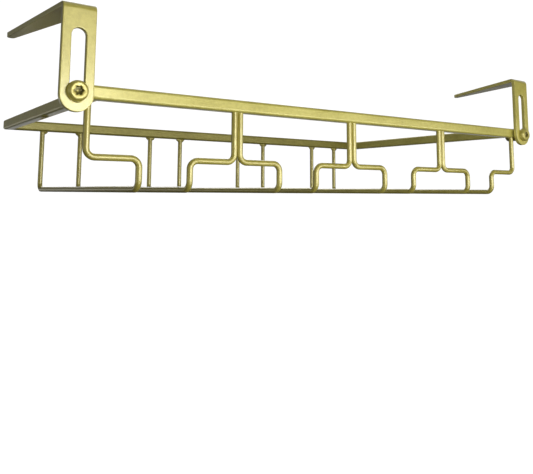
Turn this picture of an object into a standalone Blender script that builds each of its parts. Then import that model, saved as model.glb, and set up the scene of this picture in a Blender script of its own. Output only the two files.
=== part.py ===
"""Hanging wine glass rack for the underside of a shelf.

A welded rectangle of square steel tube carries eight bent guide wires, which
form four channels. At each front corner a threaded boss takes a button-head
screw, and the screw clamps a slotted, bent-plate hook bracket whose arm lies
on top of the shelf. The slots let each bracket be set for the shelf's height.

Units are metres, +X to the right along the front rail, +Y to the back, +Z up.
The origin is under the middle of the rack, level with the bottom of the wires.
"""

import math

import bmesh
import bpy
from mathutils import Vector

MM = 0.001

# ---------------------------------------------------------------- dimensions
# frame
FRAME_WIDTH = 438.0 * MM        # over the outer faces of the side rails
FRAME_DEPTH = 239.0 * MM        # front face of front rail to back of rear rail
RAIL = 9.0 * MM                 # square tube, outside
RAIL_WALL = 1.3 * MM
RAIL_CORNER = 1.3 * MM          # outside corner radius of the tube
TOUCH = 0.3 * MM                # gap kept between pieces that touch

# guide wires
WIRE_DIA = 4.4 * MM
PITCH = 110.0 * MM              # from one channel to the next
WIRE_SETBACK = 2.5 * MM         # wire centre behind the rail's outer face
JOG = 35.0 * MM                 # sideways step from the drop to the channel edge
JOG_DROP = 44.6 * MM            # rail top down to the step's centre line
RUN_DROP = 64.1 * MM            # rail top down to the run's centre line
WIRE_BEND = 5.8 * MM            # centre-line bend radius
WIRE_BEND_STEPS = 6

# bosses
BOLT_OFFSET = 9.3 * MM          # screw axis outside the side rail's outer face
BOLT_DROP = 6.0 * MM            # rail top down to the screw axis
BOSS_DIA = 11.6 * MM
BOSS_PROUD = 1.5 * MM           # boss stands out in front of the front rail
BOSS_BEHIND = 3.0 * MM          # and behind it
BOSS_BORE = 8.6 * MM
RAIL_END = 5.0 * MM             # front rail runs this far past the side rail

# hook brackets
PLATE = 3.5 * MM
PLATE_EDGE = 0.4 * MM           # rounded edge of the painted plate
LEG_WIDTH = 21.0 * MM
LEG_TOP = 50.2 * MM             # above the rail top
LEG_BOTTOM = -17.5 * MM         # below the rail top
BEND_INSIDE = 1.0 * MM
SLOT_WIDTH = 9.3 * MM
SLOT_TOP = 34.2 * MM            # upper end of the slot, above the rail top
ARM_LENGTH = 99.5 * MM          # front of the leg to the tip, along the arm
ARM_TIP = 6.0 * MM              # width of the rounded tip
ARM_SPLAY = 11.4                # degrees outward from straight back
ARM_DIP = 1.3                   # degrees that the plate is bent past square
LEFT_SET = -1.0 * MM            # each bracket's own setting on its screw,
RIGHT_SET = 1.0 * MM            # up or down from the heights above

# button-head screws
HEAD_DIA = 13.2 * MM
HEAD_HEIGHT = 4.0 * MM
HEAD_RIM = 0.9 * MM
HEAD_FLAT_DIA = 9.0 * MM
SOCKET_MEAN = 2.6 * MM          # mean radius of the six-lobe socket
SOCKET_LOBE = 0.36 * MM
SOCKET_DEPTH = 2.5 * MM
SHANK_DIA = 8.0 * MM
SHANK_LENGTH = 16.0 * MM

ROUND = 36                      # facets of the turned pieces

# ------------------------------------------------------------ derived places
HALF_W = FRAME_WIDTH / 2
WIRE_R = WIRE_DIA / 2
LEG_BACK = -(BOSS_PROUD + TOUCH)            # back face of the bracket's leg
LEG_FRONT = LEG_BACK - PLATE
HEAD_BACK = LEG_FRONT - TOUCH
HEAD_FRONT = HEAD_BACK - HEAD_HEIGHT
BOLT_X = HALF_W + BOLT_OFFSET
BOLT_Z = -BOLT_DROP
# The dimensions above are laid out with the rail top at Z = 0 and the front
# rail's face at Y = 0. Everything is then shifted to the rack's own origin.
SHIFT = Vector((0.0, -(HEAD_FRONT + FRAME_DEPTH) / 2, RUN_DROP + WIRE_R))


# ------------------------------------------------------------------- helpers
def clear_scene():
    for ob in list(bpy.data.objects):
        bpy.data.objects.remove(ob, do_unlink=True)


def material(name, colour, roughness, metallic):
    mat = bpy.data.materials.new(name)
    mat.use_nodes = True
    bsdf = mat.node_tree.nodes["Principled BSDF"]
    bsdf.inputs["Base Color"].default_value = (*colour, 1.0)
    bsdf.inputs["Roughness"].default_value = roughness
    bsdf.inputs["Metallic"].default_value = metallic
    mat.diffuse_color = (*colour, 1.0)
    return mat


def place(ob, parent=None):
    bpy.context.scene.collection.objects.link(ob)
    if parent is not None:
        ob.parent = parent
    return ob


def mesh_object(name, bm, mat, parent=None, location=(0, 0, 0), smooth=40.0):
    """Turn a bmesh laid out around its own origin into a placed object."""
    bmesh.ops.remove_doubles(bm, verts=bm.verts, dist=0.00001)
    bmesh.ops.recalc_face_normals(bm, faces=bm.faces)
    me = bpy.data.meshes.new(name)
    bm.to_mesh(me)
    bm.free()
    me.materials.append(mat)
    me.shade_smooth()
    me.set_sharp_from_angle(angle=math.radians(smooth))
    ob = bpy.data.objects.new(name, me)
    ob.location = location
    return place(ob, parent)


def empty(name, location):
    ob = bpy.data.objects.new(name, None)
    ob.empty_display_size = 0.02
    ob.location = location
    return place(ob)


def rounded_path(corners, radius, steps):
    """Points along straight runs joined by circular bends of one radius."""
    pts = [Vector(corners[0])]
    for before, here, after in zip(corners, corners[1:], corners[2:]):
        here = Vector(here)
        a = (Vector(before) - here).normalized()
        b = (Vector(after) - here).normalized()
        half = a.angle(b) / 2
        reach = radius / math.tan(half)
        centre = here + (a + b).normalized() * (radius / math.sin(half))
        start = here + a * reach - centre
        end = here + b * reach - centre
        turn = start.angle(end)
        for i in range(steps + 1):
            t = i / steps
            p = (start * math.sin((1 - t) * turn) + end * math.sin(t * turn)) / math.sin(turn)
            pts.append(centre + p)
    pts.append(Vector(corners[-1]))
    return pts


# -------------------------------------------------------------------- pieces
def square_profile(side, radius, per_corner):
    """Rounded square about the origin, anticlockwise, as (p, q) pairs."""
    pts = []
    for k, (sx, sy) in enumerate(((1, 1), (-1, 1), (-1, -1), (1, -1))):
        cx, cy = sx * (side / 2 - radius), sy * (side / 2 - radius)
        for i in range(per_corner + 1):
            ang = math.radians(90 * k + 90 * i / per_corner)
            pts.append((cx + radius * math.cos(ang), cy + radius * math.sin(ang)))
    return pts


def rail(name, mat, along, centre, start, end):
    """Square tube along X or Y. start and end give the cut at each end as a
    function of the sideways offset, so a mitre is a sloping function."""
    bm = bmesh.new()
    outer = square_profile(RAIL, RAIL_CORNER, 3)
    inner = square_profile(RAIL - 2 * RAIL_WALL, 0.4 * MM, 3)

    def ring(profile, cut):
        verts = []
        for p, q in profile:
            s = cut(p)
            co = (s, centre[1] + p, centre[2] + q) if along == "X" else (centre[0] + p, s, centre[2] + q)
            verts.append(bm.verts.new(co))
        return verts

    loops = [ring(outer, start), ring(outer, end), ring(inner, end), ring(inner, start)]
    n = len(outer)
    for a, b in zip(loops, loops[1:] + loops[:1]):
        for i in range(n):
            j = (i + 1) % n
            bm.faces.new((a[i], a[j], b[j], b[i]))
    for v in bm.verts:
        v.co += SHIFT
    return mesh_object(name, bm, mat)


def guide_wire(name, mat, drop_x, run_x):
    """One bent wire: front drop, sideways step, short leg, run, rear drop."""
    top = -RAIL - TOUCH
    front = WIRE_SETBACK
    back = FRAME_DEPTH - WIRE_SETBACK
    corners = [
        (drop_x, front, top),
        (drop_x, front, -JOG_DROP),
        (run_x, front, -JOG_DROP),
        (run_x, front, -RUN_DROP),
        (run_x, back, -RUN_DROP),
        (run_x, back, top),
    ]
    pts = rounded_path(corners, WIRE_BEND, WIRE_BEND_STEPS)
    cu = bpy.data.curves.new(name, "CURVE")
    cu.dimensions = "3D"
    cu.bevel_depth = WIRE_R
    cu.bevel_resolution = 4
    cu.use_fill_caps = True
    cu.materials.append(mat)
    sp = cu.splines.new("POLY")
    sp.points.add(len(pts) - 1)
    for slot, p in zip(sp.points, pts):
        p = p + SHIFT
        slot.co = (p.x, p.y, p.z, 1.0)
    sp.use_smooth = True
    return place(bpy.data.objects.new(name, cu))


def turned(bm, rings, closed=True, sides=ROUND):
    """Skin between rings of (radius or radius function, place along Y)."""
    grid = []
    for radius, y in rings:
        row = []
        for i in range(sides):
            ang = 2 * math.pi * i / sides
            r = radius(ang) if callable(radius) else radius
            row.append(bm.verts.new((r * math.cos(ang), y, r * math.sin(ang))))
        grid.append(row)
    for a, b in list(zip(grid, grid[1:])) + ([(grid[-1], grid[0])] if closed else []):
        for i in range(sides):
            j = (i + 1) % sides
            bm.faces.new((a[i], a[j], b[j], b[i]))
    return grid


def boss(name, mat, side):
    """Round threaded boss, welded across the end of the front rail."""
    bm = bmesh.new()
    r, b = BOSS_DIA / 2, BOSS_BORE / 2
    c = 0.5 * MM
    back = RAIL + BOSS_BEHIND
    turned(bm, [
        (b, -BOSS_PROUD + c * 0.6), (b + c * 0.6, -BOSS_PROUD), (r - c, -BOSS_PROUD),
        (r, -BOSS_PROUD + c), (r, back - c), (r - c, back), (b, back),
    ], sides=32)
    loc = Vector((side * BOLT_X, 0.0, BOLT_Z)) + SHIFT
    return mesh_object(name, bm, mat, location=loc)


def screw(name, mat, parent):
    """Button-head screw with a six-lobe socket, head towards -Y."""
    bm = bmesh.new()
    r_head, r_flat, r_shank = HEAD_DIA / 2, HEAD_FLAT_DIA / 2, SHANK_DIA / 2
    rings = [(r_shank, HEAD_BACK), (r_head - 0.2 * MM, HEAD_BACK), (r_head, HEAD_BACK - 0.25 * MM),
             (r_head, HEAD_BACK - HEAD_RIM)]
    dome = 6
    for i in range(1, dome + 1):
        t = math.radians(90.0 * i / dome)
        r = r_flat + (r_head - r_flat) * math.cos(t)
        y = HEAD_BACK - HEAD_RIM - (HEAD_HEIGHT - HEAD_RIM) * math.sin(t)
        rings.append((r, y))

    def lobed(ang):
        return SOCKET_MEAN + SOCKET_LOBE * math.cos(6 * ang)

    rings.append((lambda a: lobed(a) + 0.25 * MM, HEAD_FRONT))
    rings.append((lobed, HEAD_FRONT + 0.3 * MM))
    rings.append((lobed, HEAD_FRONT + SOCKET_DEPTH))
    grid = turned(bm, rings, closed=False)
    tip = bm.verts.new((0.0, HEAD_FRONT + SOCKET_DEPTH + 0.9 * MM, 0.0))
    last = grid[-1]
    for i in range(ROUND):
        bm.faces.new((last[i], last[(i + 1) % ROUND], tip))
    # shank, back from under the head to its chamfered end
    end = HEAD_BACK + SHANK_LENGTH
    shank = turned(bm, [(r_shank - 0.9 * MM, end), (r_shank, end - 0.9 * MM)], closed=False)
    bm.faces.new(shank[0])
    root, top = shank[-1], grid[0]
    for i in range(ROUND):
        j = (i + 1) % ROUND
        bm.faces.new((root[i], root[j], top[j], top[i]))
    return mesh_object(name, bm, mat, parent=parent)


def hook_bracket(name, mat, side, parent, setting):
    """Slotted leg, bend and tapered arm, folded from one plate.

    It is laid out about the screw axis, raised by its setting.
    """
    bm = bmesh.new()
    half = LEG_WIDTH / 2
    top = LEG_TOP - BOLT_Z + setting        # heights above the screw axis
    bottom = LEG_BOTTOM - BOLT_Z + setting
    under = top - PLATE
    bend_y, bend_z = LEG_BACK + BEND_INSIDE, under - BEND_INSIDE
    r_in, r_out = BEND_INSIDE, BEND_INSIDE + PLATE

    leg, arm, bends = [], [], []            # each entry: (inner, outer) vertex
    def pair(inner, outer):
        return bm.verts.new(inner), bm.verts.new(outer)

    # leg outline, from the bend down one side, round the end and up again
    round_steps = 16
    leg.append(pair((-half, LEG_BACK, bend_z), (-half, LEG_FRONT, bend_z)))
    for i in range(round_steps + 1):
        ang = math.radians(180 + 180 * i / round_steps)
        x, z = half * math.cos(ang), bottom + half + half * math.sin(ang)
        leg.append(pair((x, LEG_BACK, z), (x, LEG_FRONT, z)))
    leg.append(pair((half, LEG_BACK, bend_z), (half, LEG_FRONT, bend_z)))

    # the bend, in steps, left and right edge together
    bend_steps = 6
    bends.append((leg[0], leg[-1]))
    for i in range(1, bend_steps + 1):
        ang = math.radians((90 + ARM_DIP) * i / bend_steps)
        ca, sa = math.cos(ang), math.sin(ang)
        row = []
        for x in (-half, half):
            row.append(pair((x, bend_y - r_in * ca, bend_z + r_in * sa),
                            (x, bend_y - r_out * ca, bend_z + r_out * sa)))
        bends.append(tuple(row))

    # arm outline: straight tapering edges, then the rounded tip
    splay = math.radians(ARM_SPLAY) * side
    r_tip = ARM_TIP / 2
    tip = Vector((math.sin(splay), math.cos(splay))) * (ARM_LENGTH - r_tip) + Vector((0.0, LEG_FRONT))
    root_l, root_r = Vector((-half, bend_y)), Vector((half, bend_y))

    dip = math.radians(ARM_DIP)

    def on_arm(x, y, r):
        """A place in the flat arm's plan, at a distance r from the bend's centre."""
        s = y - bend_y
        return (x, bend_y + s * math.cos(dip) + r * math.sin(dip),
                bend_z - s * math.sin(dip) + r * math.cos(dip))

    def tangent(root, hand):
        d = tip - root
        lean = math.asin(r_tip / d.length) * hand
        base = math.atan2(d.y, d.x)
        return base + lean + math.radians(90) * hand

    a0, a1 = tangent(root_r, -1), tangent(root_l, 1)
    tip_steps = 12
    arm.append(bends[-1][1])
    for i in range(tip_steps + 1):
        ang = a0 + (a1 - a0) * i / tip_steps
        x, y = tip.x + r_tip * math.cos(ang), tip.y + r_tip * math.sin(ang)
        arm.append(pair(on_arm(x, y, r_in), on_arm(x, y, r_out)))
    arm.append(bends[-1][0])

    for k in (0, 1):
        bm.faces.new([v[k] for v in leg])
        bm.faces.new([v[k] for v in arm])
        for a, b in zip(bends, bends[1:]):
            bm.faces.new((a[0][k], a[1][k], b[1][k], b[0][k]))
    for outline in (leg, arm):
        for a, b in zip(outline, outline[1:]):
            bm.faces.new((a[0], b[0], b[1], a[1]))
    for a, b in zip(bends, bends[1:]):
        for e in (0, 1):
            bm.faces.new((a[e][0], b[e][0], b[e][1], a[e][1]))
    ob = mesh_object(name, bm, mat, parent=parent)

    # the slot, cut right through the leg
    cut = bmesh.new()
    r = SLOT_WIDTH / 2
    low = bottom + half
    high = SLOT_TOP - BOLT_Z - r + setting
    outline = []
    for i in range(13):
        ang = math.radians(180 * i / 12)
        outline.append((r * math.cos(ang), high + r * math.sin(ang)))
    for i in range(13):
        ang = math.radians(180 + 180 * i / 12)
        outline.append((r * math.cos(ang), low + r * math.sin(ang)))
    front = [cut.verts.new((x, LEG_FRONT - 2 * MM, z)) for x, z in outline]
    back = [cut.verts.new((x, LEG_BACK + 2 * MM, z)) for x, z in outline]
    cut.faces.new(front)
    cut.faces.new(back)
    for i in range(len(outline)):
        j = (i + 1) % len(outline)
        cut.faces.new((front[i], front[j], back[j], back[i]))
    cutter = mesh_object(name + "_slot_cutter", cut, mat, parent=parent)
    cutter.hide_render = True
    cutter.display_type = "WIRE"

    mod = ob.modifiers.new("slot", "BOOLEAN")
    mod.operation = "DIFFERENCE"
    mod.solver = "EXACT"
    mod.object = cutter
    edge = ob.modifiers.new("rounded_edges", "BEVEL")
    edge.width = PLATE_EDGE
    edge.segments = 2
    edge.limit_method = "ANGLE"
    edge.angle_limit = math.radians(40)
    return ob


# --------------------------------------------------------------------- build
def build():
    clear_scene()
    gold = (0.60, 0.53, 0.17)
    frame_mat = material("rail_gold", gold, 0.38, 0.75)
    wire_mat = material("wire_gold", (0.58, 0.51, 0.16), 0.36, 0.75)
    boss_mat = material("boss_gold", (0.42, 0.36, 0.12), 0.42, 0.7)
    plate_mat = material("bracket_gold", (0.64, 0.57, 0.20), 0.40, 0.75)
    screw_mat = material("screw_gold", (0.55, 0.48, 0.16), 0.34, 0.8)

    mid = RAIL / 2
    mitre = TOUCH / 2 * math.sqrt(2)
    bolt_x = BOLT_X

    # front rail, running past both side rails to the bosses
    front = rail("front_rail", frame_mat, "X", (0, mid, -mid),
                 lambda p: -(HALF_W + RAIL_END), lambda p: HALF_W + RAIL_END)
    for side, tag in ((-1, "left"), (1, "right")):
        cope = bmesh.new()
        turned(cope, [(BOSS_DIA / 2 + TOUCH, -RAIL), (BOSS_DIA / 2 + TOUCH, 2 * RAIL)],
               closed=False, sides=32)
        for loop_y in (-RAIL, 2 * RAIL):
            cope.faces.new([v for v in cope.verts if abs(v.co.y - loop_y) < 1e-6])
        cutter = mesh_object("cope_cutter_" + tag, cope, frame_mat,
                             location=Vector((side * bolt_x, 0, BOLT_Z)) + SHIFT)
        cutter.hide_render = True
        cutter.display_type = "WIRE"
        mod = front.modifiers.new("cope_" + tag, "BOOLEAN")
        mod.operation = "DIFFERENCE"
        mod.solver = "EXACT"
        mod.object = cutter

    # side rails butt against the front rail and are mitred to the rear rail
    for side, tag in ((-1, "left"), (1, "right")):
        rail(tag + "_rail", frame_mat, "Y", (side * (HALF_W - mid), 0, -mid),
             lambda p: RAIL + TOUCH,
             lambda p, s=side: FRAME_DEPTH - mid + s * p - mitre)
    rail("rear_rail", frame_mat, "X", (0, FRAME_DEPTH - mid, -mid),
         lambda p: -(HALF_W - mid) - p + mitre,
         lambda p: (HALF_W - mid) + p - mitre)

    # guide wires, numbered from the left; neighbours hang side by side
    beside = WIRE_R + TOUCH / 2
    drops = [-HALF_W]
    for k in (-1, 0, 1):
        drops += [k * PITCH - beside, k * PITCH + beside]
    drops.append(HALF_W)
    for n, x in enumerate(drops, start=1):
        step = JOG if n % 2 else -JOG
        guide_wire("guide_wire_%d" % n, wire_mat, x, x + step)

    for side, tag in ((-1, "left"), (1, "right")):
        boss(tag + "_boss", boss_mat, side)
        pivot = empty(tag + "_screw_axis", Vector((side * bolt_x, 0.0, BOLT_Z)) + SHIFT)
        hook_bracket(tag + "_bracket", plate_mat, side, pivot, LEFT_SET if side < 0 else RIGHT_SET)
        screw(tag + "_screw", screw_mat, pivot)


build()
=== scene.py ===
import math

import bmesh
import bpy
from mathutils import Matrix, Vector, noise


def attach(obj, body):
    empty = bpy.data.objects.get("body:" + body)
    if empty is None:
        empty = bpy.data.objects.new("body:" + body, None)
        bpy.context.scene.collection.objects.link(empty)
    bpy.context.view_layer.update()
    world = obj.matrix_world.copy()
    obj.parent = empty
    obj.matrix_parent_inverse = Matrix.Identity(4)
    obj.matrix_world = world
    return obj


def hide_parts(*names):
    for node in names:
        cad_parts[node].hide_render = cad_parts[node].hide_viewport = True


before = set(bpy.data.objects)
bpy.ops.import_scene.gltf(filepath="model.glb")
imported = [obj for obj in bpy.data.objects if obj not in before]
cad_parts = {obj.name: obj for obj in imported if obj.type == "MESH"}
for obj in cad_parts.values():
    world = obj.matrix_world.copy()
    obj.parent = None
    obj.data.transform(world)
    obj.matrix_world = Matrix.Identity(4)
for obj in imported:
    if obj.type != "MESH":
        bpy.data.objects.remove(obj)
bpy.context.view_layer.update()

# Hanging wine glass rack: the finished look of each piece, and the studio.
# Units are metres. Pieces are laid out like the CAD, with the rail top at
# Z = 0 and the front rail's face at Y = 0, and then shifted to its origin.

MM = 0.001
SHIFT = Vector((0.0, -114.7 * MM, 66.3 * MM))

# ---------------------------------------------------------------- dimensions
HALF_W = 219.0 * MM
DEPTH = 239.0 * MM
RAIL = 9.0 * MM
WALL = 1.3 * MM
CORNER = 1.9 * MM
RAIL_END = 5.0 * MM
WIRE_R = 2.2 * MM
PITCH = 110.0 * MM
SETBACK = 2.5 * MM
JOG = 35.0 * MM
JOG_DROP = 44.6 * MM
RUN_DROP = 64.1 * MM
BEND = 5.8 * MM
BOLT_X = HALF_W + 9.3 * MM
BOLT_Z = -6.0 * MM
BOSS_R = 5.8 * MM
BOSS_PROUD = 1.5 * MM
BOSS_BACK = RAIL + 3.0 * MM
BORE_R = 4.3 * MM
PLATE = 3.5 * MM
LEG_BACK = -(BOSS_PROUD + 0.3 * MM)
LEG_FRONT = LEG_BACK - PLATE
LEG_HALF = 10.5 * MM
LEG_TOP = 50.2 * MM
LEG_BOTTOM = -17.5 * MM
BEND_IN = 1.0 * MM
SLOT_R = 4.65 * MM
SLOT_TOP = 34.2 * MM
ARM = 99.5 * MM
TIP_R = 3.0 * MM
SPLAY = 11.4
DIP = 1.3
SETTING = {-1: -1.0 * MM, 1: 1.0 * MM}
HEAD_BACK = LEG_FRONT - 0.3 * MM
HEAD_H = 4.0 * MM
HEAD_R = 6.6 * MM
RIM = 0.9 * MM
FLAT_R = 4.5 * MM
SHANK_R = 4.0 * MM
SHANK = 16.0 * MM


# ----------------------------------------------------------------- materials
class Nodes:
    """A small helper that adds nodes to one material and joins them up."""

    def __init__(self, name):
        self.mat = bpy.data.materials.new(name)
        self.mat.use_nodes = True
        self.tree = self.mat.node_tree
        self.bsdf = self.tree.nodes["Principled BSDF"]

    def add(self, kind, **values):
        node = self.tree.nodes.new(kind)
        for key, value in values.items():
            if hasattr(node, key):
                setattr(node, key, value)
            else:
                node.inputs[key].default_value = value
        return node

    def link(self, out, inp):
        self.tree.links.new(out, inp)

    def math(self, op, a, b=None, clamp=False):
        node = self.tree.nodes.new("ShaderNodeMath")
        node.operation = op
        node.use_clamp = clamp
        for value, inp in ((a, node.inputs[0]), (b, node.inputs[1])):
            if value is None:
                continue
            if isinstance(value, (int, float)):
                inp.default_value = value
            else:
                self.link(value, inp)
        return node.outputs[0]

    def ramp(self, fac, stops):
        node = self.tree.nodes.new("ShaderNodeValToRGB")
        els = node.color_ramp.elements
        while len(els) < len(stops):
            els.new(0.5)
        for el, (pos, col) in zip(els, stops):
            el.position = pos
            el.color = (*col, 1.0) if len(col) == 3 else col
        self.link(fac, node.inputs["Fac"])
        return node.outputs["Color"]

    def mix(self, fac, a, b):
        node = self.tree.nodes.new("ShaderNodeMix")
        node.data_type = "RGBA"
        for value, inp in ((fac, node.inputs[0]), (a, node.inputs[6]), (b, node.inputs[7])):
            if isinstance(value, (int, float)):
                inp.default_value = value
            elif isinstance(value, tuple):
                inp.default_value = (*value, 1.0)
            else:
                self.link(value, inp)
        return node.outputs[2]


def satin_gold(name, deep, mid, pale, rough, metal, seed=0.0, grain=1.0, edge_wear_and_glint=0.35,
               pits=0.0, coat=0.25, relief=0.16, socket_paint_and_shade=False, under=False):
    """Baked metallic paint: fine flake grain, cloudy tone, soft orange peel,
    slightly rubbed edges that are also lightened as a painted edge highlight,
    and, when asked for, painted shade in a screw's socket and on faces turned down.
    The pattern is fixed to the piece."""
    n = Nodes(name)
    coord = n.add("ShaderNodeTexCoord")
    place = n.add("ShaderNodeMapping")
    place.inputs["Location"].default_value = (seed * 0.37, seed * 0.53, seed * 0.71)
    n.link(coord.outputs["Object"], place.inputs["Vector"])
    at = place.outputs["Vector"]

    def cloud(scale, detail, roughness=0.55):
        node = n.add("ShaderNodeTexNoise")
        node.inputs["Scale"].default_value = scale
        node.inputs["Detail"].default_value = detail
        node.inputs["Roughness"].default_value = roughness
        n.link(at, node.inputs["Vector"])
        return node.outputs["Fac"]

    broad = cloud(38.0, 4.0)            # handling and spray clouds, 25 mm
    patch = cloud(380.0, 4.0)           # 3 mm mottle
    fleck = cloud(1500.0, 2.0, 0.7)     # metallic grain, 0.7 mm
    peel = cloud(620.0, 2.0)            # orange peel in the paint

    flake = n.add("ShaderNodeTexVoronoi")
    flake.feature = "F1"
    flake.inputs["Scale"].default_value = 1700.0
    n.link(at, flake.inputs["Vector"])
    glint = n.add("ShaderNodeSeparateColor")
    n.link(flake.outputs["Color"], glint.inputs["Color"])

    # edges stand out where a rounded normal leaves the true one; they are lightened, partly as rubbed paint and
    # partly as a painted edge highlight
    soft = n.add("ShaderNodeBevel")
    soft.samples = 6
    soft.inputs["Radius"].default_value = 0.7 * MM
    geo = n.add("ShaderNodeNewGeometry")
    dot = n.add("ShaderNodeVectorMath")
    dot.operation = "DOT_PRODUCT"
    n.link(soft.outputs["Normal"], dot.inputs[0])
    n.link(geo.outputs["Normal"], dot.inputs[1])
    edge = n.math("SUBTRACT", 1.0, dot.outputs["Value"])
    edge = n.math("MULTIPLY", edge, 5.0, clamp=True)
    rubbed_edge_glint = n.math("MULTIPLY", edge, n.math("MULTIPLY", patch, 1.5, clamp=True))
    rubbed_edge_glint = n.math("MULTIPLY", rubbed_edge_glint, edge_wear_and_glint, clamp=True)

    tone = n.math("ADD", n.math("MULTIPLY", broad, 0.55), n.math("MULTIPLY", patch, 0.45))
    tone = n.math("ADD", n.math("MULTIPLY", n.math("SUBTRACT", tone, 0.5), 1.9), 0.5, clamp=True)
    base = n.ramp(tone, [(0.18, deep), (0.52, mid), (0.86, pale)])
    spark = n.math("MULTIPLY", n.math("SUBTRACT", fleck, 0.5), 0.5 * grain)
    spark = n.math("ADD", spark, n.math("MULTIPLY", n.math("SUBTRACT", glint.outputs["Red"], 0.5), 0.22 * grain))
    spark = n.math("ADD", spark, 0.5, clamp=True)
    grainy = n.ramp(spark, [(0.0, (0.80, 0.77, 0.66)), (0.5, (1.0, 1.0, 1.0)), (1.0, (1.15, 1.16, 1.24))])
    times = n.tree.nodes.new("ShaderNodeMix")
    times.data_type = "RGBA"
    times.blend_type = "MULTIPLY"
    times.inputs[0].default_value = 1.0
    n.link(base, times.inputs[6])
    n.link(grainy, times.inputs[7])
    # painted edge highlight together with rubbed paint: edges are mixed toward a paler gold
    colour = n.mix(rubbed_edge_glint, times.outputs[2], tuple(min(1.0, c * 1.12 + 0.03) for c in pale))
    if pits:
        dark = n.math("MULTIPLY", n.math("SUBTRACT", 0.46, fleck, clamp=True), 6.0 * pits, clamp=True)
        colour = n.mix(dark, colour, tuple(c * 0.45 for c in deep))
    if socket_paint_and_shade:
        # painted shade in the socket, around the axis of the screw and darker toward its floor, together with paint
        # lying thick there
        own = n.add("ShaderNodeSeparateXYZ")
        n.link(coord.outputs["Object"], own.inputs[0])
        across = n.math("SQRT", n.math("ADD", n.math("MULTIPLY", own.outputs["X"], own.outputs["X"]),
                                       n.math("MULTIPLY", own.outputs["Z"], own.outputs["Z"])))
        inside = n.add("ShaderNodeMapRange")
        inside.inputs["From Min"].default_value = 0.30 * MM
        inside.inputs["From Max"].default_value = 0.90 * MM
        n.link(across, inside.inputs["Value"])
        deepness = n.add("ShaderNodeMapRange")
        deepness.inputs["From Min"].default_value = -HEAD_H + 0.05 * MM
        deepness.inputs["From Max"].default_value = -HEAD_H + 0.7 * MM
        n.link(own.outputs["Y"], deepness.inputs["Value"])
        within = n.math("LESS_THAN", across, 3.4 * MM)
        before = n.math("LESS_THAN", own.outputs["Y"], -0.2 * MM)
        shade = n.math("MULTIPLY", n.math("MULTIPLY", inside.outputs[0], deepness.outputs[0]),
                       n.math("MULTIPLY", within, before))
        # painted shade: the socket is mixed toward a much darker gold
        colour = n.mix(n.math("MULTIPLY", shade, 0.70), colour, tuple(c * 0.22 for c in deep))
    if under:
        # painted shade: faces of the arm that turn down are darkened and made more olive, standing in for the shade
        # under the arm
        facing = n.add("ShaderNodeSeparateXYZ")
        n.link(coord.outputs["Normal"], facing.inputs[0])
        underside_shade = n.math("MULTIPLY", n.math("SUBTRACT", n.math("MULTIPLY", facing.outputs["Z"], -1.0), 0.85), 9.0, clamp=True)
        colour = n.mix(n.math("MULTIPLY", underside_shade, 0.75), colour, tuple(c * s for c, s in zip(deep, (0.72, 0.70, 0.35))))
    n.link(colour, n.bsdf.inputs["Base Color"])

    r = n.math("ADD", n.math("MULTIPLY", n.math("SUBTRACT", broad, 0.5), 0.16), rough)
    r = n.math("ADD", r, n.math("MULTIPLY", n.math("SUBTRACT", glint.outputs["Green"], 0.5), 0.14 * grain))
    r = n.math("SUBTRACT", r, n.math("MULTIPLY", rubbed_edge_glint, 0.12))
    r = n.math("MAXIMUM", n.math("MINIMUM", r, 0.8), 0.16)
    n.link(r, n.bsdf.inputs["Roughness"])
    n.bsdf.inputs["Metallic"].default_value = metal
    n.bsdf.inputs["Specular IOR Level"].default_value = 0.9
    n.bsdf.inputs["Coat Weight"].default_value = coat
    n.bsdf.inputs["Coat Roughness"].default_value = 0.22

    height = n.math("ADD", n.math("MULTIPLY", fleck, 0.55), n.math("MULTIPLY", peel, 1.0))
    bump = n.add("ShaderNodeBump")
    bump.inputs["Strength"].default_value = relief
    bump.inputs["Distance"].default_value = 0.06 * MM
    n.link(height, bump.inputs["Height"])
    n.link(bump.outputs["Normal"], n.bsdf.inputs["Normal"])
    n.mat.diffuse_color = (*mid, 1.0)
    return n.mat


# ------------------------------------------------------------------- meshing
def finish_mesh(name, bm, mat, body, nodes, smooth=35.0, world=None):
    """Closes a bmesh into a piece that rides on its body."""
    bmesh.ops.remove_doubles(bm, verts=bm.verts, dist=0.000001)
    bmesh.ops.recalc_face_normals(bm, faces=bm.faces)
    me = bpy.data.meshes.new(name)
    bm.to_mesh(me)
    bm.free()
    me.materials.append(mat)
    me.shade_smooth()
    me.set_sharp_from_angle(angle=math.radians(smooth))
    ob = bpy.data.objects.new(name, me)
    bpy.context.scene.collection.objects.link(ob)
    if world is not None:
        ob.matrix_world = world
    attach(ob, body)
    if nodes:
        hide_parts(*nodes)
    return ob


def loft(bm, rings, close_ring=True, caps=True, loop=False):
    """Skin of quads between equal rings of points."""
    grid = [[bm.verts.new(p) for p in ring] for ring in rings]
    n = len(grid[0])
    pairs = list(zip(grid, grid[1:])) + ([(grid[-1], grid[0])] if loop else [])
    for a, b in pairs:
        for i in range(n if close_ring else n - 1):
            j = (i + 1) % n
            bm.faces.new((a[i], a[j], b[j], b[i]))
    if caps and not loop:
        bm.faces.new(grid[0])
        bm.faces.new(grid[-1])
    return grid


def bend_path(corners, radius, steps):
    """Straight runs joined by circular bends, with a point each side of a bend."""
    pts = [Vector(corners[0])]
    for before, here, after in zip(corners, corners[1:], corners[2:]):
        here = Vector(here)
        a = (Vector(before) - here).normalized()
        b = (Vector(after) - here).normalized()
        half = a.angle(b) / 2
        reach = radius / math.tan(half)
        centre = here + (a + b).normalized() * (radius / math.sin(half))
        start, end = here + a * reach - centre, here + b * reach - centre
        turn = start.angle(end)
        for i in range(steps + 1):
            t = i / steps
            pts.append(centre + (start * math.sin((1 - t) * turn) + end * math.sin(t * turn)) / math.sin(turn))
    pts.append(Vector(corners[-1]))
    return pts


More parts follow.
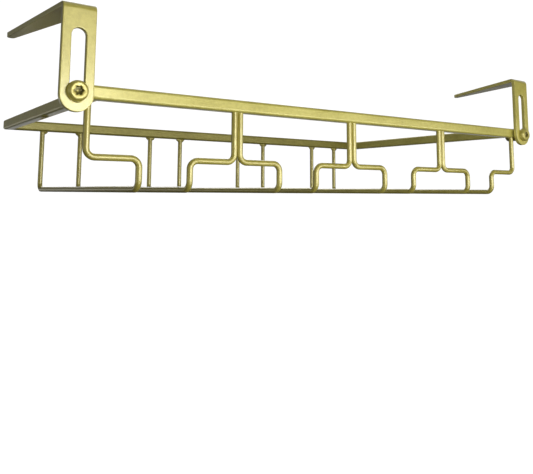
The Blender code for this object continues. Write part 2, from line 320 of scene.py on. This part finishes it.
def tube_rings(pts, radius, sides):
    """Rings of points round a path, carried along without twist."""
    rings = []
    ahead = (pts[1] - pts[0]).normalized()
    side = ahead.cross(Vector((0.31, 0.87, 0.38))).normalized()
    for i, p in enumerate(pts):
        before = (p - pts[i - 1]).normalized() if i else ahead
        after = (pts[i + 1] - p).normalized() if i + 1 < len(pts) else before
        along = (before + after).normalized()
        side = (side - along * side.dot(along)).normalized()
        up = along.cross(side)
        r = radius(i) if callable(radius) else radius
        rings.append([p + (side * math.cos(a) + up * math.sin(a)) * r
                      for a in (2 * math.pi * k / sides for k in range(sides))])
    return rings


def guide_wire(number, drop_x, run_x, mat):
    """One bent wire. It runs up to the rails' undersides."""
    top, front, back = -RAIL - 0.05 * MM, SETBACK, DEPTH - SETBACK
    pts = bend_path([
        (drop_x, front, top), (drop_x, front, -JOG_DROP), (run_x, front, -JOG_DROP),
        (run_x, front, -RUN_DROP), (run_x, back, -RUN_DROP), (run_x, back, top),
    ], BEND, 14)
    # long runs are divided, so that the wire can be very slightly uneven
    fine = [pts[0]]
    for a, b in zip(pts, pts[1:]):
        parts = max(1, int((b - a).length / (9.0 * MM)))
        fine += [a.lerp(b, (k + 1) / parts) for k in range(parts)]
    fine = [p + SHIFT for p in fine]

    def girth(i):
        p = fine[i]
        return WIRE_R + 0.018 * MM * noise.noise(Vector((p.x * 60 + number * 7, p.y * 60, p.z * 60)))

    bm = bmesh.new()
    loft(bm, tube_rings(fine, girth, 24))
    return finish_mesh("wire_%d" % number, bm, mat, "frame", ["guide_wire_%d" % number], 50)


def tube_profile(side, radius, steps, inset=0.12 * MM):
    """Rounded square with an extra point inside each flat, so the flats stay
    flat and only the corners turn."""
    pts = []
    h = side / 2
    for k, (sx, sy) in enumerate(((1, 1), (-1, 1), (-1, -1), (1, -1))):
        cx, cy = sx * (h - radius), sy * (h - radius)
        arc = []
        for i in range(steps + 1):
            a = math.radians(90 * k + 90 * i / steps)
            arc.append((cx + radius * math.cos(a), cy + radius * math.sin(a)))
        before = math.radians(90 * k - 90)
        after = math.radians(90 * k + 180)
        first = (arc[0][0] + inset * math.cos(before), arc[0][1] + inset * math.sin(before))
        last = (arc[-1][0] + inset * math.cos(after), arc[-1][1] + inset * math.sin(after))
        pts += [first] + arc + [last]
    return pts


def rail(name, node, mat, along, centre, start, end, stretch=26):
    """Square tube with rounded corners, open ends, a trace of waviness."""
    outer = tube_profile(RAIL, CORNER, 6)
    inner = tube_profile(RAIL - 2 * WALL, 0.6 * MM, 6)

    def ring(profile, t):
        out = []
        for p, q in profile:
            s = start(p) + (end(p) - start(p)) * t
            wave = 0.0 if t in (0.0, 1.0) else 0.02 * MM * noise.noise(Vector((s * 45, p * 200, q * 200)))
            x, y, z = (s, centre[1] + p, centre[2] + q + wave) if along == "X" else (centre[0] + p, s, centre[2] + q + wave)
            out.append(Vector((x, y, z)) + SHIFT)
        return out

    lip = 0.0015                        # support rings close to each cut end
    ts = [0.0, lip] + [k / stretch for k in range(1, stretch)] + [1 - lip, 1.0]
    rings = [ring(outer, t) for t in ts] + [ring(inner, t) for t in reversed(ts)]
    bm = bmesh.new()
    loft(bm, rings, loop=True)
    return finish_mesh(name, bm, mat, "frame", [node], 40)


def turned_rings(rings, sides, centre, wobble=None):
    """Points of rings (radius, y) about an axis along Y."""
    out = []
    for radius, y in rings:
        ring = []
        for k in range(sides):
            a = 2 * math.pi * k / sides
            r = radius(a) if callable(radius) else radius
            ring.append(Vector((centre.x + r * math.cos(a), centre.y + y, centre.z + r * math.sin(a))))
        out.append(ring)
    return out


def boss(side, tag, mat):
    """Round threaded boss with chamfered faces and a threaded bore."""
    centre = Vector((side * BOLT_X, 0.0, BOLT_Z)) + SHIFT
    c = 0.5 * MM
    rings = []
    y = -BOSS_PROUD
    crest, root, step = BORE_R - 0.25 * MM, BORE_R, 0.625 * MM
    bore = [(BORE_R + 0.35 * MM, y), (BORE_R, y + 0.35 * MM)]
    k = 0
    while y + 0.5 * MM + (k + 1) * step < BOSS_BACK - 0.6 * MM:
        bore.append((crest if k % 2 else root, y + 0.5 * MM + k * step))
        k += 1
    bore += [(BORE_R, BOSS_BACK - 0.35 * MM), (BORE_R + 0.35 * MM, BOSS_BACK)]
    outer = [(BOSS_R - c, BOSS_BACK), (BOSS_R - 0.15 * MM, BOSS_BACK - 0.2 * MM), (BOSS_R, BOSS_BACK - c),
             (BOSS_R, BOSS_BACK - c - 0.2 * MM), (BOSS_R, y + c + 0.2 * MM),
             (BOSS_R, y + c), (BOSS_R - 0.15 * MM, y + 0.2 * MM), (BOSS_R - c, y)]
    rings = bore + outer
    bm = bmesh.new()
    loft(bm, turned_rings(rings, 56, centre), loop=True)
    return finish_mesh("boss_" + tag, bm, mat, "frame", [tag + "_boss"], 35)


def screw(side, tag, mat):
    """Button-head screw: domed head, flat crown, six-lobe socket, thread."""
    seat = Vector((side * BOLT_X, HEAD_BACK, BOLT_Z)) + SHIFT
    centre = Vector((0.0, -HEAD_BACK, 0.0))
    front = HEAD_BACK - HEAD_H
    rings = [(HEAD_R - 0.35 * MM, HEAD_BACK), (HEAD_R - 0.1 * MM, HEAD_BACK - 0.08 * MM),
             (HEAD_R, HEAD_BACK - 0.3 * MM), (HEAD_R, HEAD_BACK - RIM + 0.1 * MM)]
    dome = 12
    for i in range(dome + 1):
        t = math.radians(90.0 * i / dome)
        rings.append((FLAT_R + (HEAD_R - FLAT_R) * math.cos(t), HEAD_BACK - RIM - (HEAD_H - RIM) * math.sin(t)))
    rings.append((FLAT_R - 0.25 * MM, front))

    def lobe(mean, depth):
        return lambda a: mean + depth * math.cos(6 * a + math.radians(18 * side))

    deep = front + 2.5 * MM
    rings += [(lobe(2.98 * MM, 0.33 * MM), front), (lobe(2.82 * MM, 0.35 * MM), front + 0.06 * MM),
              (lobe(2.62 * MM, 0.36 * MM), front + 0.3 * MM), (lobe(2.58 * MM, 0.36 * MM), deep - 0.15 * MM),
              (lobe(2.45 * MM, 0.33 * MM), deep), (1.2 * MM, deep + 0.35 * MM), (0.15 * MM, deep + 0.8 * MM)]
    head = turned_rings(rings, 72, centre)
    # shank: plain neck, thread, chamfered point
    end = HEAD_BACK + SHANK
    shank = [(SHANK_R - 0.05 * MM, HEAD_BACK), (SHANK_R - 0.05 * MM, HEAD_BACK + 1.4 * MM)]
    y, k = HEAD_BACK + 1.7 * MM, 0
    while y < end - 1.0 * MM:
        shank.append((SHANK_R if k % 2 == 0 else SHANK_R - 0.55 * MM, y))
        y += 0.5 * MM
        k += 1
    shank += [(SHANK_R - 0.6 * MM, end - 0.5 * MM), (SHANK_R - 1.1 * MM, end)]
    body = turned_rings(shank, 72, centre)
    bm = bmesh.new()
    loft(bm, list(reversed(body)) + head)
    return finish_mesh("screw_" + tag, bm, mat, tag + "_screw", [tag + "_screw"], 32,
                       Matrix.Translation(seat))


def bracket(side, tag, mat):
    """Slotted leg, bend and tapering arm, folded from one plate."""
    half = LEG_HALF
    lift = SETTING[side]
    top, bottom = LEG_TOP - BOLT_Z + lift, LEG_BOTTOM - BOLT_Z + lift
    under = top - PLATE
    bend_y, bend_z = LEG_BACK + BEND_IN, under - BEND_IN
    r_in, r_out = BEND_IN, BEND_IN + PLATE
    bm = bmesh.new()

    def pair(inner, outer):
        return bm.verts.new(inner), bm.verts.new(outer)

    leg = [pair((-half, LEG_BACK, bend_z), (-half, LEG_FRONT, bend_z))]
    for i in range(33):
        a = math.radians(180 + 180 * i / 32)
        x, z = half * math.cos(a), bottom + half + half * math.sin(a)
        leg.append(pair((x, LEG_BACK, z), (x, LEG_FRONT, z)))
    leg.append(pair((half, LEG_BACK, bend_z), (half, LEG_FRONT, bend_z)))
    bends = [(leg[0], leg[-1])]
    for i in range(1, 13):
        a = math.radians((90 + DIP) * i / 12)
        ca, sa = math.cos(a), math.sin(a)
        bends.append(tuple(pair((x, bend_y - r_in * ca, bend_z + r_in * sa),
                                (x, bend_y - r_out * ca, bend_z + r_out * sa)) for x in (-half, half)))
    splay = math.radians(SPLAY) * side
    tip = Vector((math.sin(splay), math.cos(splay))) * (ARM - TIP_R) + Vector((0.0, LEG_FRONT))
    root_l, root_r = Vector((-half, bend_y)), Vector((half, bend_y))

    dip = math.radians(DIP)

    def on_arm(x, y, r):
        s = y - bend_y
        return (x, bend_y + s * math.cos(dip) + r * math.sin(dip),
                bend_z - s * math.sin(dip) + r * math.cos(dip))

    def tangent(root, hand):
        d = tip - root
        return math.atan2(d.y, d.x) + math.asin(TIP_R / d.length) * hand + math.radians(90) * hand

    a0, a1 = tangent(root_r, -1), tangent(root_l, 1)
    arm = [bends[-1][1]]
    for i in range(25):
        a = a0 + (a1 - a0) * i / 24
        x, y = tip.x + TIP_R * math.cos(a), tip.y + TIP_R * math.sin(a)
        arm.append(pair(on_arm(x, y, r_in), on_arm(x, y, r_out)))
    arm.append(bends[-1][0])
    for k in (0, 1):
        bm.faces.new([v[k] for v in leg])
        bm.faces.new([v[k] for v in arm])
        for a, b in zip(bends, bends[1:]):
            bm.faces.new((a[0][k], a[1][k], b[1][k], b[0][k]))
    for outline in (leg, arm):
        for a, b in zip(outline, outline[1:]):
            bm.faces.new((a[0], b[0], b[1], a[1]))
    for a, b in zip(bends, bends[1:]):
        for e in (0, 1):
            bm.faces.new((a[e][0], b[e][0], b[e][1], a[e][1]))
    bmesh.ops.recalc_face_normals(bm, faces=bm.faces)
    blank = bpy.data.meshes.new("blank_" + tag)
    bm.to_mesh(blank)
    bm.free()
    blank_ob = bpy.data.objects.new("blank_" + tag, blank)

    punch = bmesh.new()
    low, high = bottom + half, SLOT_TOP - BOLT_Z - SLOT_R + lift
    outline = []
    for start, z in ((0, high), (180, low)):
        for i in range(25):
            a = math.radians(start + 180 * i / 24)
            outline.append((SLOT_R * math.cos(a), z + SLOT_R * math.sin(a)))
    loft(punch, [[(x, y, z) for x, z in outline] for y in (LEG_FRONT - 2 * MM, LEG_BACK + 2 * MM)])
    bmesh.ops.recalc_face_normals(punch, faces=punch.faces)
    punch_me = bpy.data.meshes.new("punch_" + tag)
    punch.to_mesh(punch_me)
    punch.free()
    punch_ob = bpy.data.objects.new("punch_" + tag, punch_me)
    for ob in (blank_ob, punch_ob):
        bpy.context.scene.collection.objects.link(ob)
    cut = blank_ob.modifiers.new("slot", "BOOLEAN")
    cut.operation, cut.solver, cut.object = "DIFFERENCE", "EXACT", punch_ob
    edge = blank_ob.modifiers.new("edge", "BEVEL")
    edge.width, edge.segments, edge.limit_method = 0.45 * MM, 4, "ANGLE"
    edge.angle_limit = math.radians(40)
    edge.harden_normals = False
    bpy.context.view_layer.update()
    made = bpy.data.meshes.new_from_object(blank_ob.evaluated_get(bpy.context.evaluated_depsgraph_get()))
    for ob in (blank_ob, punch_ob):
        bpy.data.objects.remove(ob, do_unlink=True)

    # flats are divided into small faces so that the plate takes its shading
    # from its own plane and not from its edges
    final = bmesh.new()
    final.from_mesh(made)
    flats = [f for f in final.faces if len(f.verts) > 4 and f.calc_area() > 40 * MM * MM]
    bmesh.ops.inset_individual(final, faces=flats, thickness=0.25 * MM)
    centre = Vector((side * BOLT_X, 0.0, BOLT_Z)) + SHIFT
    return finish_mesh("bracket_" + tag, final, mat, tag + "_bracket", [tag + "_bracket"], 40,
                       Matrix.Translation(centre))


def weld_bead(bm, centre, size, seed, lid=0.35 * MM, power=1.35):
    """A lump of weld in a corner: a blunt diamond with uneven skin. What
    would stand above the lid is flattened into the tube's wall."""
    made = bmesh.ops.create_icosphere(bm, subdivisions=4, radius=1.0)["verts"]
    for v in made:
        d = v.co.normalized()
        s = sum(abs(c) ** power for c in d) ** (-1 / power)
        lump = 1.0 + 0.16 * noise.noise(d * 1.7 + Vector((seed, 0, 0))) + 0.06 * noise.noise(d * 5.0 + Vector((0, seed, 0)))
        p = Vector((d.x * size[0], d.y * size[1], d.z * size[2])) * s * lump
        p.z = min(p.z, lid)
        v.co = p + centre + SHIFT


# -------------------------------------------------------------------- pieces
rail_mat = satin_gold("rail_satin_gold", (0.53, 0.475, 0.09), (0.62, 0.56, 0.12), (0.69, 0.63, 0.16), 0.36, 0.22, 1.0, grain=0.8, coat=0.6)
# painted shade: the rear rail gets a darker copy of the rails' gold, standing in for the weaker light at the back of
# the rack
rear_rail_shaded_mat = satin_gold("rear_rail_shaded_gold", (0.33, 0.29, 0.045), (0.40, 0.352, 0.062), (0.48, 0.43, 0.095), 0.42, 0.3, 7.0, coat=0.2)
wire_mat = satin_gold("wire_satin_gold", (0.44, 0.375, 0.06), (0.53, 0.46, 0.085), (0.61, 0.54, 0.125), 0.32, 0.20, 2.0, grain=0.3, coat=0.95, relief=0.04)
# painted shade: the bosses get a darker copy of the gold, standing in for the shade on their sides
boss_shaded_mat = satin_gold("boss_shaded_gold", (0.30, 0.25, 0.055), (0.38, 0.33, 0.075), (0.46, 0.41, 0.11), 0.42, 0.45, 3.0, coat=0.2)
# under=True paints shade on the downward faces of the bracket arms
plate_mat = satin_gold("bracket_satin_gold", (0.55, 0.48, 0.09), (0.64, 0.57, 0.12), (0.71, 0.64, 0.16), 0.36, 0.16, 4.0, grain=0.75, coat=1.0, under=True)
screw_mat = satin_gold("screw_satin_gold", (0.46, 0.39, 0.07), (0.56, 0.485, 0.10), (0.66, 0.59, 0.16), 0.32, 0.35, 5.0, grain=0.5, edge_wear_and_glint=0.5, coat=0.5, relief=0.08, socket_paint_and_shade=True)
weld_mat = satin_gold("weld_satin_gold", (0.36, 0.30, 0.06), (0.50, 0.44, 0.11), (0.60, 0.54, 0.15), 0.44, 0.65, 6.0, pits=0.5)

mid = RAIL / 2

# front rail, its ends coped round the bosses
def cope(side):
    def cut(p):
        return side * (HALF_W + RAIL_END)
    return cut


front = rail("rail_front", "front_rail", rail_mat, "X", (0, mid, -mid), cope(-1), cope(1), 40)
for v in front.data.vertices:
    for side in (-1, 1):
        dx = v.co.x - side * BOLT_X
        dz = v.co.z - (BOLT_Z + SHIFT.z)
        reach = BOSS_R - 0.02 * MM
        if abs(dz) < reach:
            limit = math.sqrt(reach * reach - dz * dz)
            if abs(dx) < limit:
                v.co.x = side * (BOLT_X - limit)

for side, tag in ((-1, "left"), (1, "right")):
    rail("rail_" + tag, tag + "_rail", rail_mat, "Y", (side * (HALF_W - mid), 0, -mid),
         lambda p: RAIL, lambda p, s=side: DEPTH - mid + s * p)
rail("rail_rear", "rear_rail", rear_rail_shaded_mat, "X", (0, DEPTH - mid, -mid),
     lambda p: -(HALF_W - mid) - p, lambda p: (HALF_W - mid) + p, 40)

beside = WIRE_R + 0.15 * MM
drops = [-HALF_W]
for k in (-1, 0, 1):
    drops += [k * PITCH - beside, k * PITCH + beside]
drops.append(HALF_W)
runs = [x + (JOG if n % 2 == 0 else -JOG) for n, x in enumerate(drops)]
for n, (x, run) in enumerate(zip(drops, runs), start=1):
    guide_wire(n, x, run, wire_mat)

for side, tag in ((-1, "left"), (1, "right")):
    boss(side, tag, boss_shaded_mat)
    bracket(side, tag, plate_mat)
    screw(side, tag, screw_mat)

# welds: at the top of each wire, front and rear, and where tubes meet
welds = bmesh.new()
seed = 0.0
for n, (x, run) in enumerate(zip(drops, runs)):
    for hand in (-1, 1):
        outer_side = (n % 2 == 0 and hand == -1) or (n % 2 == 1 and hand == 1)
        seed += 3.7
        front_size = 2.0 if (n == 0 or n == 7) else 1.1
        if 0 < n < 7 and not outer_side:
            front_size = 0.0
        if front_size:
            weld_bead(welds, Vector((x + hand * WIRE_R * 0.85, SETBACK + 0.3 * MM, -RAIL)),
                      (front_size * MM, 1.9 * MM, front_size * 0.9 * MM), seed)
        if (n, hand) in ((0, -1), (1, 1)):
            continue
        weld_bead(welds, Vector((run + hand * WIRE_R * 0.8, DEPTH - SETBACK - 0.3 * MM, -RAIL)),
                  (3.4 * MM, 1.9 * MM, 3.1 * MM), seed + 1.3)
finish_mesh("welds_wires", welds, weld_mat, "frame", None, 60)

joints = bmesh.new()
for side in (-1, 1):
    # inside corners of the side rails, behind the front rail and before the rear one
    for y in (RAIL, DEPTH - RAIL):
        seed += 2.9
        weld_bead(joints, Vector((side * (HALF_W - RAIL), y, -RAIL * 0.5)),
                  (1.5 * MM, 1.5 * MM, 4.2 * MM), seed, lid=3.6 * MM, power=1.6)
    # boss to the end of the front rail, behind and under it
    seed += 2.9
    weld_bead(joints, Vector((side * (BOLT_X - BOSS_R + 0.6 * MM), RAIL + 0.2 * MM, BOLT_Z)),
              (1.8 * MM, 1.2 * MM, 3.4 * MM), seed, lid=3.0 * MM, power=1.6)
    weld_bead(joints, Vector((side * (BOLT_X - BOSS_R + 1.2 * MM), mid, -RAIL - 0.1 * MM)),
              (2.4 * MM, 3.2 * MM, 1.0 * MM), seed + 1, power=1.7)
# a low spot of weld under the left rail
weld_bead(joints, Vector((-HALF_W + 2.8 * MM, 109.0 * MM, -RAIL - 0.15 * MM)),
          (2.6 * MM, 4.2 * MM, 1.0 * MM), 41.3, power=1.7)
# the weld stops in the wall of each boss, clear of the turning shank
for v in joints.verts:
    for side in (-1, 1):
        dx, dz = v.co.x - side * BOLT_X, v.co.z - SHIFT.z - BOLT_Z
        off = math.hypot(dx, dz)
        if off < 4.8 * MM:
            v.co.x = side * BOLT_X + dx * 4.8 * MM / off
            v.co.z = SHIFT.z + BOLT_Z + dz * 4.8 * MM / off
finish_mesh("welds_joints", joints, weld_mat, "frame", None, 60)

# -------------------------------------------------------------------- studio
floor_bm = bmesh.new()
disc = [(9.0 * math.cos(2 * math.pi * k / 96), 9.0 * math.sin(2 * math.pi * k / 96)) for k in range(96)]
floor_bm.faces.new([floor_bm.verts.new((x, y, -0.75)) for x, y in disc])
floor_me = bpy.data.meshes.new("floor")
floor_bm.to_mesh(floor_me)
floor_bm.free()
floor = bpy.data.objects.new("floor", floor_me)
bpy.context.scene.collection.objects.link(floor)
pale = Nodes("pale_floor")
pale.bsdf.inputs["Base Color"].default_value = (0.90, 0.90, 0.89, 1.0)
pale.bsdf.inputs["Roughness"].default_value = 0.9
pale.bsdf.inputs["Emission Color"].default_value = (1.0, 1.0, 0.995, 1.0)
pale.bsdf.inputs["Emission Strength"].default_value = 1.0
floor_me.materials.append(pale.mat)
floor.visible_diffuse = False
floor.visible_glossy = False

world = bpy.data.worlds.new("studio")
bpy.context.scene.world = world
world.use_nodes = True
wt = world.node_tree
wt.nodes.clear()
out = wt.nodes.new("ShaderNodeOutputWorld")
seen = wt.nodes.new("ShaderNodeBackground")
seen.inputs["Color"].default_value = (1.0, 1.0, 1.0, 1.0)
seen.inputs["Strength"].default_value = 1.05
room = wt.nodes.new("ShaderNodeBackground")
room.inputs["Strength"].default_value = 1.0
path = wt.nodes.new("ShaderNodeLightPath")
pick = wt.nodes.new("ShaderNodeMixShader")
wt.links.new(path.outputs["Is Camera Ray"], pick.inputs[0])
wt.links.new(room.outputs[0], pick.inputs[1])
wt.links.new(seen.outputs[0], pick.inputs[2])
wt.links.new(pick.outputs[0], out.inputs["Surface"])
way = wt.nodes.new("ShaderNodeTexCoord")
parts = wt.nodes.new("ShaderNodeSeparateXYZ")
wt.links.new(way.outputs["Generated"], parts.inputs[0])
height = wt.nodes.new("ShaderNodeMapRange")
height.inputs["From Min"].default_value = -1.0
height.inputs["From Max"].default_value = 1.0
wt.links.new(parts.outputs["Z"], height.inputs["Value"])
tint = wt.nodes.new("ShaderNodeValToRGB")
stops = [(0.0, 0.03), (0.28, 0.03), (0.36, 0.06), (0.425, 0.13), (0.436, 0.85), (0.475, 0.85), (0.49, 0.06), (0.60, 0.04), (1.0, 0.05)]
els = tint.color_ramp.elements
while len(els) < len(stops):
    els.new(0.5)
for el, (pos, g) in zip(els, stops):
    el.position = pos
    el.color = (g, g, g, 1.0)
wt.links.new(height.outputs[0], tint.inputs["Fac"])
wt.links.new(tint.outputs["Color"], room.inputs["Color"])


def lamp(name, at, target, size, watts, colour=(1.0, 1.0, 1.0)):
    data = bpy.data.lights.new(name, "AREA")
    data.shape = "RECTANGLE"
    data.size, data.size_y = size
    data.energy = watts
    data.color = colour
    ob = bpy.data.objects.new(name, data)
    bpy.context.scene.collection.objects.link(ob)
    ob.location = at
    ob.rotation_euler = (Vector(target) - Vector(at)).to_track_quat("-Z", "Y").to_euler()
    ob.visible_camera = False
    return ob


lamp("front_strip", (0.13, -0.46, 0.03), (0.10, 0.0, 0.06), (0.80, 0.12), 1.12, (1.0, 0.99, 0.97))
lamp("front_key", (-0.08, -0.60, 0.095), (-0.22, -0.12, 0.05), (0.09, 0.10), 0.30, (1.0, 1.0, 1.0))
lamp("high_key", (-0.085, -0.60, 0.25), (-0.22, -0.12, 0.09), (0.10, 0.22), 0.19, (1.0, 0.95, 0.72))
lamp("low_strip", (-0.05, -0.42, -0.15), (-0.10, -0.1, 0.055), (0.50, 0.035), 0.36)
lamp("left_soft", (-1.5, 0.1, 0.35), (0.0, 0.0, 0.05), (1.2, 1.2), 1.5)
lamp("left_rear", (-0.75, 1.5, 0.30), (-0.2, 0.0, 0.06), (0.9, 0.7), 0.22)
lamp("right_soft", (1.6, 0.2, 0.6), (0.0, 0.0, 0.05), (1.2, 1.2), 2.0)
lamp("top_soft", (0.1, 0.1, 1.6), (0.0, 0.0, 0.0), (1.6, 1.6), 2.6)
lamp("back_soft", (0.5, 1.3, 0.9), (0.0, 0.0, 0.05), (1.4, 1.0), 8.0)

# -------------------------------------------------------------------- camera
cam_data = bpy.data.cameras.new("camera")
cam_data.sensor_fit = "HORIZONTAL"
cam_data.sensor_width = 36.0
cam_data.lens = 614.44 / 533.0 * 36.0
cam_data.shift_x = 0.0
cam_data.shift_y = (115.0 - 237.0) / 533.0
cam = bpy.data.objects.new("camera", cam_data)
bpy.context.scene.collection.objects.link(cam)
az, pitch, roll = (math.radians(a) for a in (34.7338, 7.1452, 0.3145))
ahead = Vector((math.sin(az) * math.cos(pitch), math.cos(az) * math.cos(pitch), math.sin(pitch)))
right = Vector((math.cos(az), -math.sin(az), 0.0))
up = right.cross(ahead)
right2 = right * math.cos(roll) + up * math.sin(roll)
up2 = up * math.cos(roll) - right * math.sin(roll)
basis = Matrix((right2, up2, -ahead)).transposed().to_4x4()
basis.translation = Vector((-0.342156, -0.483706, 0.000894))
cam.matrix_world = basis
cam_data.clip_start, cam_data.clip_end = 0.01, 50.0
bpy.context.scene.camera = cam

bpy.context.scene.view_settings.view_transform = "Standard"
bpy.context.scene.view_settings.look = "None"
